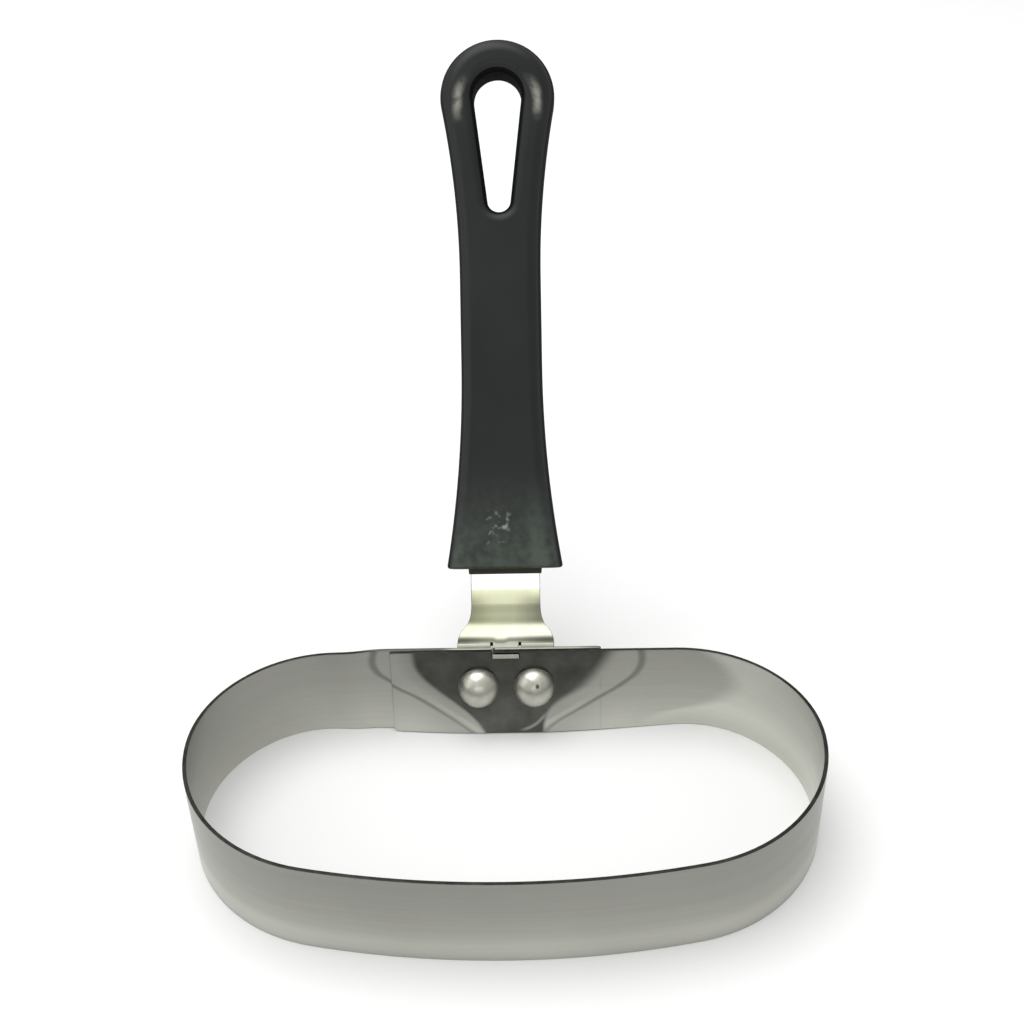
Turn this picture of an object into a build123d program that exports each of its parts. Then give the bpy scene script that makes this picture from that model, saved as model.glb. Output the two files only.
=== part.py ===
"""Egg ring with an upright handle, in millimetres, +Z up, handle towards +Y.

The origin is on the floor in the middle of the ring's rear wall, halfway through the wall's inner
layer. The ring stands on its lower edge and lies towards -Y.
"""

import os
from math import asin, cos, degrees, radians, sin, sqrt

from build123d import *

# Ring: one strip bent on edge, its ends lapped behind the rivets. The shares are of the ring's
# length and give the outer radii of the rear corners, the sides and the front.
ring_length = 140
ring_height = 23
band_thickness = 0.9
corner_share = 0.214
side_share = 0.265
front_share = 1.41
lap_left = 27.5
lap_right = 22.5
lap_gap = 0.15
joggle_clearance = 0.5
strip_corner_radius = 1.2

# Rivets: domed heads inside the ring, flat formed tails on the bracket's foot
rivet_spacing = 13.3
rivet_height = 13
rivet_head_radius = 4.95
rivet_head_height = 4.7
rivet_shank_radius = 2.4
rivet_tail_radius = 3.9
rivet_tail_height = 1.5
rivet_tail_chamfer = 0.5
rivet_clearance = 0.1

# Bracket: one bent strip with a foot, a tongue, a ledge, a riser and the stem in the handle
sheet_thickness = 1.2
foot_width = 23
foot_bottom = 4.5
foot_corner_radius = 4
foot_bend_radius = 1.8
neck_width = 16.8
ledge_reach = 9.3
riser_radius = 7.5
riser_length = 8.6
handle_angle = 56
tongue_width = 6
tongue_drop = 0.6
tongue_reach = 1.2
tongue_window_depth = 5
tongue_clearance = 0.2
slit_width = 0.6
stem_length = 52
stem_width = 10
stem_taper_length = 16
stem_corner_radius = 2
stem_notch_width = 2
stem_notch_length = 6
stem_notch_place = 36
moulding_clearance = 0.1

# Handle: one moulding, flared at the bracket, waisted, with a rounded loop end
handle_length = 127.5
end_width = 28.2
end_flare_radius = 280
waist_width = 19.6
loop_radius = 13.8
loop_flare_radius = 220
handle_thickness = 10.8
handle_edge_radius = 3.4
end_chamfer = 0.8
collar_width = 18.2
collar_thickness = 4.4
collar_height = 1.4
collar_corner_radius = 1
hole_top_radius = 5.8
hole_bottom_radius = 2.8
hole_spacing = 25
hole_chamfer = 1.6

overrun = 5

# Ring geometry, along the middle of the strip
half_thickness = band_thickness / 2
corner_bend = ring_length * corner_share - half_thickness
side_bend = ring_length * side_share - half_thickness
front_bend = ring_length * front_share - half_thickness
half_length = ring_length / 2 - half_thickness
rear_flat = half_length - corner_bend
front_half_turn = asin((half_length - side_bend) / (front_bend - side_bend))
lap_offset = band_thickness + lap_gap
joggle_length = rear_flat - lap_left - joggle_clearance
joggle_bend = (joggle_length**2 + lap_offset**2) / (4 * lap_offset)
joggle_turn = degrees(asin(joggle_length / (2 * joggle_bend)))
wall_back = lap_offset + half_thickness
rivet_places = [(-rivet_spacing / 2, rivet_height), (rivet_spacing / 2, rivet_height)]

# Bracket geometry, along the middle of the sheet
half_sheet = sheet_thickness / 2
foot_y = wall_back + half_sheet
ledge_z = ring_height - tongue_drop - half_sheet
tilt = radians(handle_angle)
riser_start_y = ledge_reach + riser_radius * sin(tilt)
riser_start_z = ledge_z + riser_radius * (1 - cos(tilt))
neck_y = riser_start_y + riser_length * cos(tilt)
neck_z = riser_start_z + riser_length * sin(tilt)
flare_length = riser_start_y - foot_y - foot_bend_radius
flare_rise = (foot_width - neck_width) / 2
flare_bend = (flare_length**2 + flare_rise**2) / (4 * flare_rise)
flare_turn = degrees(asin(flare_length / (2 * flare_bend)))

# Handle geometry, along its axis from the flared end
handle_plane = Plane(
    origin=(0, neck_y, neck_z), x_dir=(0, cos(tilt), sin(tilt)), z_dir=(0, -sin(tilt), cos(tilt))
)
handle_axis = Axis(handle_plane.origin, handle_plane.x_dir)
thickness_axis = Axis(handle_plane.origin, handle_plane.z_dir)
end_plane = Plane(origin=(0, neck_y, neck_z), x_dir=(1, 0, 0), z_dir=-handle_plane.x_dir)
end_half = end_width / 2
waist_half = waist_width / 2
end_flare_length = sqrt(end_flare_radius**2 - (end_flare_radius + waist_half - end_half) ** 2)
end_flare_turn = degrees(asin(end_flare_length / end_flare_radius))
loop_centre = handle_length - loop_radius
loop_flare_length = sqrt(
    (loop_flare_radius + loop_radius) ** 2 - (loop_flare_radius + waist_half) ** 2
)
loop_flare_turn = degrees(asin(loop_flare_length / (loop_flare_radius + loop_radius)))
hole_bottom = loop_centre - hole_spacing

os.makedirs("parts", exist_ok=True)

# Ring band: the strip's route seen from above, thickened and raised
with BuildPart() as ring_band:
    with BuildSketch():
        with BuildLine():
            inner_lap = Line((-lap_left, 0), (rear_flat, 0))
            corner = JernArc(inner_lap @ 1, inner_lap % 1, corner_bend, -90)
            side = JernArc(corner @ 1, corner % 1, side_bend, degrees(front_half_turn) - 90)
            front = JernArc(side @ 1, side % 1, front_bend, -2 * degrees(front_half_turn))
            far_side = JernArc(front @ 1, front % 1, side_bend, degrees(front_half_turn) - 90)
            far_corner = JernArc(far_side @ 1, far_side % 1, corner_bend, -90)
            bend_out = JernArc(far_corner @ 1, far_corner % 1, joggle_bend, joggle_turn)
            bend_back = JernArc(bend_out @ 1, bend_out % 1, joggle_bend, -joggle_turn)
            Line(bend_back @ 1, (lap_right, lap_offset))
        trace(line_width=band_thickness)
    extrude(amount=ring_height)
    strip_ends = [
        ring_band.faces().filter_by(Plane.YZ).sort_by(Axis.X)[0],
        ring_band.faces().filter_by(Plane.YZ).sort_by(Axis.X)[-1],
    ]
    fillet([end.edges().filter_by(Axis.Y) for end in strip_ends], strip_corner_radius)
    # Rivet holes, the slot for the tongue and the slit above the slot's left end
    with BuildSketch(Plane.XZ):
        with Locations(*rivet_places):
            Circle(rivet_shank_radius + rivet_clearance)
        with Locations((0, ledge_z)):
            Rectangle(
                tongue_width + 2 * tongue_clearance, sheet_thickness + 2 * tongue_clearance
            )
        with Locations((-tongue_width / 2 - tongue_clearance, ledge_z)):
            Rectangle(slit_width, overrun, align=(Align.MIN, Align.MIN))
    extrude(amount=overrun, both=True, mode=Mode.SUBTRACT)
ring_band.part.label = "ring_band"

# Outline of the stem that the handle is moulded on, seen square to the sheet
with BuildSketch(mode=Mode.PRIVATE) as stem_outline:
    with BuildLine():
        Polyline(
            (0, neck_width / 2),
            (stem_taper_length, stem_width / 2),
            (stem_notch_place, stem_width / 2),
            (stem_notch_place, stem_width / 2 - stem_notch_width),
            (stem_notch_place + stem_notch_length, stem_width / 2 - stem_notch_width),
            (stem_notch_place + stem_notch_length, stem_width / 2),
            (stem_length, stem_width / 2),
            (stem_length, 0),
            (0, 0),
            close=True,
        )
    make_face()
    mirror(about=Plane.XZ)
    fillet(stem_outline.vertices().group_by(Axis.X)[-1], stem_corner_radius)

# Handle bracket: the bent sheet, trimmed to its flare, then the tongue and the stem
with BuildPart() as handle_bracket:
    with BuildSketch(Plane.YZ):
        with BuildLine():
            foot = Line((foot_y, foot_bottom), (foot_y, ledge_z - foot_bend_radius))
            foot_bend = JernArc(foot @ 1, foot % 1, foot_bend_radius, -90)
            ledge = Line(foot_bend @ 1, (ledge_reach, ledge_z))
            riser_bend = JernArc(ledge @ 1, ledge % 1, riser_radius, handle_angle)
            Line(riser_bend @ 1, (neck_y, neck_z))
        trace(line_width=sheet_thickness)
    extrude(amount=foot_width / 2, both=True)
    fillet(
        handle_bracket.edges().filter_by(Axis.Y).group_by(Axis.Z)[0],
        foot_corner_radius,
    )
    with BuildSketch() as flare:
        with BuildLine():
            neck = Line((neck_width / 2, neck_y + overrun), (neck_width / 2, riser_start_y))
            flare_out = JernArc(neck @ 1, neck % 1, flare_bend, flare_turn)
            flare_back = JernArc(flare_out @ 1, flare_out % 1, flare_bend, -flare_turn)
            Polyline(
                flare_back @ 1,
                (foot_width / 2, -overrun),
                (0, -overrun),
                (0, neck_y + overrun),
                neck @ 0,
            )
        make_face()
        mirror(about=Plane.YZ)
    extrude(amount=ring_height + neck_z, mode=Mode.INTERSECT)
    # Window that the tongue leaves in the foot
    with BuildSketch(Plane.XZ):
        with Locations((0, ledge_z + half_sheet)):
            Rectangle(
                tongue_width + 2 * slit_width,
                sheet_thickness + tongue_window_depth,
                align=(Align.CENTER, Align.MAX),
            )
    extrude(amount=-(foot_y + foot_bend_radius), mode=Mode.SUBTRACT)
    with BuildSketch(Plane.XY.offset(ledge_z)):
        with Locations((0, -half_thickness - tongue_reach)):
            Rectangle(
                tongue_width,
                half_thickness + tongue_reach + ledge_reach,
                align=(Align.CENTER, Align.MIN),
            )
    extrude(amount=half_sheet, both=True)
    with BuildSketch(handle_plane):
        add(stem_outline.sketch_local)
    extrude(amount=half_sheet, both=True)
    # Rivet holes in the foot
    with BuildSketch(Plane.XZ):
        with Locations(*rivet_places):
            Circle(rivet_shank_radius + rivet_clearance)
    extrude(amount=-overrun, mode=Mode.SUBTRACT)
handle_bracket.part.label = "handle_bracket"

# Handle: its outline raised to a slab with rounded edges, then the hole, collar and pocket
with BuildPart() as handle_grip:
    with BuildSketch(handle_plane):
        with BuildLine():
            Line((0, 0), (0, end_half))
            waist_start = (end_flare_length, waist_half)
            waist_end = (loop_centre - loop_flare_length, waist_half)
            JernArc(waist_start, (-1, 0), end_flare_radius, -end_flare_turn)
            Line(waist_start, waist_end)
            loop_flare = JernArc(waist_end, (1, 0), loop_flare_radius, loop_flare_turn)
            loop_end = JernArc(loop_flare @ 1, loop_flare % 1, loop_radius, -90 - loop_flare_turn)
            Line(loop_end @ 1, (0, 0))
        make_face()
        mirror(about=Plane.XZ)
    extrude(amount=handle_thickness / 2, both=True)
    # The long edges of both faces are rounded, and the flared end has a small chamfer
    broad_faces = handle_grip.faces().filter_by(thickness_axis)
    end_edges = handle_grip.edges().group_by(handle_axis)[0]
    fillet(
        [edge for face in broad_faces for edge in face.edges() if edge not in end_edges],
        handle_edge_radius,
    )
    chamfer(handle_grip.faces().sort_by(handle_axis)[0].edges(), end_chamfer)
    # Hanging hole, narrowing away from the loop's end, with both rims chamfered
    with BuildSketch(handle_plane):
        with Locations((loop_centre, 0)):
            Circle(hole_top_radius)
        with Locations((hole_bottom, 0)):
            Circle(hole_bottom_radius)
        make_hull()
    extrude(amount=handle_thickness, both=True, mode=Mode.SUBTRACT)
    chamfer(
        handle_grip.edges(Select.LAST).filter_by(thickness_axis, reverse=True),
        hole_chamfer,
    )
    # Collar round the neck, then the pocket that the stem fills
    with BuildSketch(end_plane):
        RectangleRounded(collar_width, collar_thickness, collar_corner_radius)
    extrude(amount=collar_height)
    with BuildSketch(handle_plane):
        add(stem_outline.sketch_local)
        offset(amount=moulding_clearance, kind=Kind.INTERSECTION)
    extrude(amount=half_sheet + moulding_clearance, both=True, mode=Mode.SUBTRACT)
    with BuildSketch(end_plane):
        Rectangle(neck_width + 2 * moulding_clearance, sheet_thickness + 2 * moulding_clearance)
    extrude(amount=collar_height, mode=Mode.SUBTRACT)
handle_grip.part.label = "handle_grip"

for piece in (ring_band, handle_bracket, handle_grip):
    export_step(piece.part, f"parts/{piece.part.label}.step")

# Rivets: each turned about its own axis, from the head inside to the tail outside
head_seat = -half_thickness
tail_seat = wall_back + sheet_thickness
head_ball = (rivet_head_radius**2 + rivet_head_height**2) / (2 * rivet_head_height)
for name, (across, height) in zip(("rivet_left", "rivet_right"), rivet_places):
    with BuildPart() as rivet:
        with BuildSketch(Plane(origin=(across, 0, height))):
            with BuildLine():
                head = JernArc(
                    (0, head_seat - rivet_head_height),
                    (1, 0),
                    head_ball,
                    degrees(asin(rivet_head_radius / head_ball)),
                )
                Polyline(
                    head @ 1,
                    (rivet_shank_radius, head_seat),
                    (rivet_shank_radius, tail_seat),
                    (rivet_tail_radius, tail_seat),
                    (rivet_tail_radius, tail_seat + rivet_tail_height - rivet_tail_chamfer),
                    (rivet_tail_radius - rivet_tail_chamfer, tail_seat + rivet_tail_height),
                    (0, tail_seat + rivet_tail_height),
                    head @ 0,
                )
            make_face()
        revolve(axis=Axis((across, 0, height), (0, 1, 0)))
    rivet.part.label = name
    export_step(rivet.part, f"parts/{name}.step")
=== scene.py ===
"""Looks of an egg ring with an upright handle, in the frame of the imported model.

The ring stands on the floor with its rear wall along X, and the handle rises towards +Y. Every
piece is modelled in metres, at the size and place of its CAD node, and then stands for it. The
finishes place their marks in millimetres.
"""

import logging
import math
from abc import ABC, abstractmethod
from collections.abc import Callable, Iterable
from dataclasses import dataclass
from enum import Enum
from functools import cached_property

import bmesh
import bpy
from mathutils import Matrix, Vector


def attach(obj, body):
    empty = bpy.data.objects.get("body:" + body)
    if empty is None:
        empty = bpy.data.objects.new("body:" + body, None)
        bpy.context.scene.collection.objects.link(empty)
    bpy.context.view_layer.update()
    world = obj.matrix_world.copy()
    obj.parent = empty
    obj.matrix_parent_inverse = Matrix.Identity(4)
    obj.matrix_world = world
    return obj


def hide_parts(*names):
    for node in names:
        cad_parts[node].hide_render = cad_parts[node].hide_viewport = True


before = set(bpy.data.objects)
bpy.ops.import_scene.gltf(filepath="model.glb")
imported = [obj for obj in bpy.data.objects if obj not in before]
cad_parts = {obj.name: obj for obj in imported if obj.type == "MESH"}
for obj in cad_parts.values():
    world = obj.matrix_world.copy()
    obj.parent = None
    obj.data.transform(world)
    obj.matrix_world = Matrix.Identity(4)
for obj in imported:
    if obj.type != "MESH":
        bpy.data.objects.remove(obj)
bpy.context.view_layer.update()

Mesh = bmesh.types.BMesh
Piece = bpy.types.Object
Material = bpy.types.Material
Tree = bpy.types.NodeTree
Socket = bpy.types.NodeSocket
Colour = tuple[float, float, float, float]
Line = tuple[tuple[float, float], ...]

MM = 0.001
UP = Vector((0, 0, 1))
ALONG_X = Vector((1, 0, 0))
ALONG_Y = Vector((0, 1, 0))

log = logging.getLogger("egg_ring")


class Side(Enum):
    """Which of the two rivets a rivet is, seen by someone who faces the ring."""

    LEFT = -1
    RIGHT = 1


def only_verts(made: Iterable) -> list[bmesh.types.BMVert]:
    """Picks the vertices out of what an operator made."""
    return [item for item in made if isinstance(item, bmesh.types.BMVert)]


class Pen:
    """Draws a point or a row of edges along a route and leaves a wire or a sheet behind it."""

    def __init__(self, stations: list[Vector], point: Vector, heading: Vector, axis: Vector) -> None:
        """Sets the row of vertices that is drawn.

        Args:
            stations: Places of the row's vertices, in order, in metres.
            point: The place on the route that bends are measured from.
            heading: Unit direction in which the route starts.
            axis: Unit direction that every bend turns about.
        """
        self.bm = bmesh.new()
        self.front = [self.bm.verts.new(place) for place in stations]
        self.point = point.copy()
        self.heading = heading.copy()
        self.axis = axis.copy()
        self.edges = [self.bm.edges.new(pair) for pair in zip(self.front, self.front[1:])]

    def _keep_front(self, made: list) -> None:
        """Takes the newly made end of the sheet or wire as the row that is drawn next.

        Args:
            made: What the last operator made.
        """
        self.front = only_verts(made)
        fresh = set(self.front)
        edges = [item for item in made if isinstance(item, bmesh.types.BMEdge)]
        self.edges = [edge for edge in edges if fresh.issuperset(edge.verts)]

    def straight(self, *lengths: float) -> None:
        """Draws straight on, with a row of vertices at the end of each length.

        Args:
            *lengths: The lengths, in metres.
        """
        for length in lengths:
            if self.edges:
                made = bmesh.ops.extrude_edge_only(self.bm, edges=self.edges)["geom"]
            else:
                made = bmesh.ops.extrude_vert_indiv(self.bm, verts=self.front)["verts"]
            self._keep_front(list(made))
            step = self.heading * length
            bmesh.ops.translate(self.bm, verts=self.front, vec=step)
            self.point += step

    def line_to(self, target: Vector) -> None:
        """Draws a straight line to a point.

        Args:
            target: The point.
        """
        way = target - self.point
        self.heading = way.normalized()
        self.straight(way.length)

    def bend(self, radius: float, turn: float, steps: int) -> None:
        """Draws an arc that starts in the direction of the route.

        Args:
            radius: Radius of the arc, in metres.
            turn: Angle in degrees, positive when it runs anticlockwise about the axis.
            steps: Number of straight pieces that the arc is made of.
        """
        centre = self.point + self.axis.cross(self.heading) * math.copysign(radius, turn)
        made = bmesh.ops.spin(
            self.bm, geom=self.front + self.edges, cent=centre, axis=self.axis, dvec=(0, 0, 0),
            angle=math.radians(turn), steps=steps, use_merge=False, use_normal_flip=False,
            use_duplicate=False,
        )["geom_last"]
        self._keep_front(list(made))
        turned = Matrix.Rotation(math.radians(turn), 3, self.axis)
        self.point = centre + turned @ (self.point - centre)
        self.heading = turned @ self.heading


def bevel(bm: Mesh, geom: list, width: float, segments: int, affect: str = "EDGES") -> None:
    """Rounds edges or corners.

    Args:
        bm: The mesh.
        geom: Its edges or vertices to round.
        width: Offset of the rounding, in metres.
        segments: Number of flat strips in it.
        affect: Whether edges or vertices are rounded.
    """
    bmesh.ops.bevel(
        bm, geom=geom, offset=width, offset_type="OFFSET", affect=affect,
        segments=segments, profile=0.5, material=-1,
    )


def mark_sharp(bm: Mesh) -> None:
    """Shades a mesh smooth, except across edges that turn by more than an angle.

    Args:
        bm: The mesh.
    """
    sharp = math.radians(38)
    bm.normal_update()
    for face in bm.faces:
        face.smooth = True
    for edge in bm.edges:
        if len(edge.link_faces) == 2:
            edge.smooth = edge.calc_face_angle() < sharp


def close_up(bm: Mesh) -> None:
    """Merges doubled vertices and turns every face outwards."""
    bmesh.ops.remove_doubles(bm, verts=bm.verts, dist=0.002 * MM)
    bmesh.ops.recalc_face_normals(bm, faces=bm.faces)


def make_piece(bm: Mesh, name: str, node: str, material: Material) -> Piece:
    """Turns a mesh into a dressed piece that stands for a CAD node.

    Args:
        bm: The mesh, which is used up.
        name: Name of the new object.
        node: The CAD node that the piece stands for.
        material: The material that covers the piece.

    Returns:
        The new object, at the origin, unturned and unscaled.
    """
    mesh = bpy.data.meshes.new(name)
    bm.to_mesh(mesh)
    bm.free()
    piece = bpy.data.objects.new(name, mesh)
    bpy.context.scene.collection.objects.link(piece)
    mesh.materials.append(material)
    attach(piece, "root")
    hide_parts(node)
    return piece


def flatten_shading(piece: Piece) -> None:
    """Keeps the flat faces of a piece flat in shading."""
    piece.modifiers.new("shading", "WEIGHTED_NORMAL").keep_sharp = True


def thicken(
    piece: Piece,
    thickness: float,
    rounding: float,
    edge: Material,
    back: Material | None = None,
    trim: bool = False,
) -> None:
    """Gives a sheet its thickness on both sides and rounds its edges a little.

    Args:
        piece: The sheet.
        thickness: Thickness of the metal, in metres.
        rounding: Width of the rounding along each edge, in metres.
        edge: Material of the cut edges all round.
        back: Material of the sheet's second side, where it differs from the first.
        trim: Whether the rounding has the material of the cut edges too.
    """
    wall = piece.modifiers.new("thickness", "SOLIDIFY")
    wall.thickness = thickness
    wall.offset = 0
    wall.use_even_offset = True
    if back:
        piece.data.materials.append(back)
        wall.material_offset = 1
    piece.data.materials.append(edge)
    wall.material_offset_rim = len(piece.data.materials) - 1
    soft = piece.modifiers.new("edges", "BEVEL")
    soft.width = rounding
    soft.segments = 2
    soft.material = wall.material_offset_rim if trim else -1
    soft.limit_method = "ANGLE"
    soft.angle_limit = math.radians(50)
    flatten_shading(piece)


def operator(operation: str, swapped: bool = False) -> Callable[["Number", object], "Number"]:
    """Makes an operator of Number that adds a Math node.

    Args:
        operation: The node's operation.
        swapped: Whether the number is the node's second input.

    Returns:
        The operator.
    """

    def apply(number: "Number", other: object) -> "Number":
        """Joins a number and another one."""
        return number.graph.maths(operation, *((other, number) if swapped else (number, other)))

    return apply


class Number:
    """A number in a shader tree that plain arithmetic works on."""

    __add__ = __radd__ = operator("ADD")
    __sub__ = operator("SUBTRACT")
    __rsub__ = operator("SUBTRACT", swapped=True)
    __mul__ = __rmul__ = operator("MULTIPLY")
    __truediv__ = operator("DIVIDE")
    __pow__ = operator("POWER")
    __gt__ = operator("GREATER_THAN")
    __lt__ = operator("LESS_THAN")
    most = operator("MAXIMUM")

    def __init__(self, graph: "Graph", socket: Socket) -> None:
        """Takes the graph that the nodes go into and the socket that gives the number."""
        self.graph = graph
        self.socket = socket

    def __abs__(self) -> "Number":
        """Gives the number without its sign."""
        return self.graph.maths("ABSOLUTE", self)

    def ramp(self, low: object, high: object, start: float = 0, end: float = 1) -> "Number":
        """Maps the number smoothly from the range low to high to the range start to end."""
        values = {"Value": self, "From Min": low, "From Max": high, "To Min": start, "To Max": end}
        return self.graph.give("MapRange", values, "Result", interpolation_type="SMOOTHSTEP")

    def near(self, centre: float, inner: float, outer: float, full: float = 1) -> "Number":
        """Gives a soft band round a value, full up to one distance from it and 0 from another."""
        return abs(self - centre).ramp(inner, outer, full, 0)

    def curve(self, points: Line) -> "Number":
        """Reads the number off a smooth curve.

        Args:
            points: Points of the curve, whose numbers run from 0 to 1.

        Returns:
            The curve's height at the number.
        """
        node = self.graph.add("FloatCurve", {"Value": self})
        line = node.mapping.curves[0]
        line.points[0].location, line.points[1].location = points[0], points[-1]
        for place in points[1:-1]:
            line.points.new(*place)
        node.mapping.update()
        return Number(self.graph, node.outputs[0])


class Graph:
    """Adds and wires the nodes of one shader tree."""

    def __init__(self, tree: Tree) -> None:
        """Takes the tree that the nodes go into."""
        self.tree = tree

    def add(self, kind: str, values: dict | None = None, **settings: object) -> bpy.types.Node:
        """Adds a node.

        Args:
            kind: The node's type, without the leading "ShaderNode".
            values: Inputs by name or number, each a plain value, a number or a socket to link.
            **settings: The node's own settings.

        Returns:
            The new node.
        """
        node = self.tree.nodes.new("ShaderNode" + kind)
        for name, value in settings.items():
            setattr(node, name, value)
        for key, value in (values or {}).items():
            self.feed(node.inputs[key], value)
        return node

    def feed(self, socket: Socket, value: object) -> None:
        """Links a number or a socket to an input, or sets the input's value.

        Args:
            socket: The input.
            value: What goes into it.
        """
        source = value.socket if isinstance(value, Number) else value
        if isinstance(source, Socket):
            self.tree.links.new(source, socket)
        else:
            socket.default_value = source

    def give(self, kind: str, values: dict, output: str | int = 0, **settings: object) -> Number:
        """Adds a node and gives one of its outputs as a number."""
        return Number(self, self.add(kind, values, **settings).outputs[output])

    def maths(self, operation: str, *values: object, clamp: bool = False) -> Number:
        """Adds a Math node and gives its output."""
        return self.give("Math", dict(enumerate(values)), operation=operation, use_clamp=clamp)

    def vector(self, operation: str, *values: object, output: str | int = 0) -> Socket:
        """Adds a Vector Math node and gives an output."""
        return self.add("VectorMath", dict(enumerate(values)), operation=operation).outputs[output]

    def noise(self, scale: object, detail: float, place: Socket | None = None, **more: object) -> Number:
        """Gives a noise on the surface point, or on another place."""
        values = {"Vector": place or self.spot, "Scale": scale, "Detail": detail, **more}
        return self.give("TexNoise", values, "Fac")

    def length(self, *parts: object) -> Number:
        """Gives the length of a vector that has up to three parts."""
        vector = self.add("CombineXYZ", dict(enumerate(parts))).outputs[0]
        return Number(self, self.vector("LENGTH", vector, output="Value"))

    def axes(self, place: Socket) -> tuple[Number, ...]:
        """Splits a place in metres into X, Y and Z in millimetres."""
        node = self.add("SeparateXYZ", {0: self.vector("MULTIPLY", place, (1 / MM,) * 3)})
        return tuple(Number(self, socket) for socket in node.outputs)

    def blend(self, share: object, first: object, second: object, kind: str = "MIX") -> Socket:
        """Mixes two colours by the second one's share and gives the result."""
        return self.add("Mix", {0: share, 6: first, 7: second}, data_type="RGBA", blend_type=kind).outputs[2]

    def shade(self, tint: object, tone: Number) -> Socket:
        """Darkens a colour to a tone from 0 to 1."""
        grey = self.add("CombineColor", {0: tone, 1: tone, 2: tone}).outputs[0]
        return self.blend(1.0, tint, grey, "MULTIPLY")

    @cached_property
    def spot(self) -> Socket:
        """The surface point in the frame, in metres."""
        return self.add("TexCoord").outputs["Object"]

    @cached_property
    def here(self) -> tuple[Number, ...]:
        """The surface point's X, Y and Z in the frame, in millimetres."""
        return self.axes(self.spot)


class Group(Graph):
    """The graph of a shared shader node group with named inputs and outputs."""

    def __init__(self, name: str, inputs: dict[str, object], *outputs: str) -> None:
        """Starts the group.

        Args:
            name: The group's name.
            inputs: Names of the inputs with their starting values, a number or three numbers.
            *outputs: Names of the outputs, each a number.
        """
        super().__init__(bpy.data.node_groups.new(name, "ShaderNodeTree"))
        new_socket = self.tree.interface.new_socket
        for key, value in inputs.items():
            kind = "NodeSocketFloat" if isinstance(value, float) else "NodeSocketVector"
            new_socket(key, in_out="INPUT", socket_type=kind).default_value = value
        for key in outputs:
            new_socket(key, in_out="OUTPUT", socket_type="NodeSocketFloat")
        self.inputs = self.tree.nodes.new("NodeGroupInput").outputs
        self.outputs = self.tree.nodes.new("NodeGroupOutput").inputs


def drawn_grain() -> Tree:
    """Makes the group for fine lines drawn along a surface, as rolling and brushing leave them.

    Returns:
        The group.
    """
    group = Group("drawn_grain", {"Stretch": (30, 30, 3000), "Seed": 0.0}, "Fine", "Broad")
    drawn = group.vector("MULTIPLY", group.spot, group.inputs["Stretch"])
    place = group.vector("ADD", drawn, group.inputs["Seed"])
    group.feed(group.outputs["Fine"], group.noise(1.0, 3.0, place))
    group.feed(group.outputs["Broad"], group.noise(0.22, 2.0, place))
    return group.tree


def clouding() -> Tree:
    """Makes the group for slow changes of tone, such as handling leaves.

    Returns:
        The group.
    """
    group = Group("clouding", {"Size": 0.02, "Low": 0.0, "High": 1.0}, "Tone")
    noise = group.noise(group.maths("DIVIDE", 1.0, group.inputs["Size"]), 3.0)
    ends = {"To Min": group.inputs["Low"], "To Max": group.inputs["High"]}
    values = {"Value": noise, "From Min": 0.3, "From Max": 0.7, **ends}
    group.feed(group.outputs["Tone"], group.give("MapRange", values, "Result"))
    return group.tree


def scuffs() -> Tree:
    """Makes the group for scattered small scuffs inside a soft patch.

    Returns:
        The group.
    """
    start = {"Place": (0, 0, 0), "Reach": 0.01, "Grain": 0.0006, "Amount": 0.7}
    group = Group("scuffs", start, "Mask")
    away = group.vector("DISTANCE", group.spot, group.inputs["Place"], output="Value")
    patch = group.maths("DIVIDE", away, group.inputs["Reach"]).ramp(0.35, 1.0, 1, 0)
    noise = group.noise(group.maths("DIVIDE", 1.0, group.inputs["Grain"]), 1.0, Roughness=0.4)
    group.feed(group.outputs["Mask"], noise.ramp(0.57, 0.8) * patch * group.inputs["Amount"])
    return group.tree


@dataclass(frozen=True)
class SharedEffects:
    """The shader node groups that several finishes use."""

    grain: Tree
    clouds: Tree
    scuffs: Tree

    @classmethod
    def build(cls) -> "SharedEffects":
        """Builds every group once."""
        return cls(drawn_grain(), clouding(), scuffs())


class Surface(Graph):
    """The graph of one material, with the shared effects at hand."""

    def __init__(self, tree: Tree, effects: SharedEffects) -> None:
        """Takes the tree that the nodes go into and the shared node groups."""
        super().__init__(tree)
        self.effects = effects

    def shared(self, group: Tree, **values: object) -> list[Number]:
        """Places a shared node group.

        Args:
            group: The group.
            **values: This material's own values for the group's inputs.

        Returns:
            The group's outputs.
        """
        node = self.tree.nodes.new("ShaderNodeGroup")
        node.node_tree = group
        for key, value in values.items():
            self.feed(node.inputs[key], value)
        return [Number(self, socket) for socket in node.outputs]

    def grain(self, stretch: tuple[float, float, float], seed: float) -> list[Number]:
        """Gives the fine and the broad grain, with so many lines to the metre along X, Y and Z."""
        return self.shared(self.effects.grain, Stretch=stretch, Seed=seed)

    def cloud(self, size: float, low: float, high: float) -> Number:
        """Gives a slow change between two tones, whose clouds have a size in metres."""
        return self.shared(self.effects.clouds, Size=size, Low=low, High=high)[0]


@dataclass(frozen=True)
class Coat:
    """What covers a surface, point by point, with heights in millimetres."""

    colour: Socket
    rough: Number
    height: Number


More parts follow.
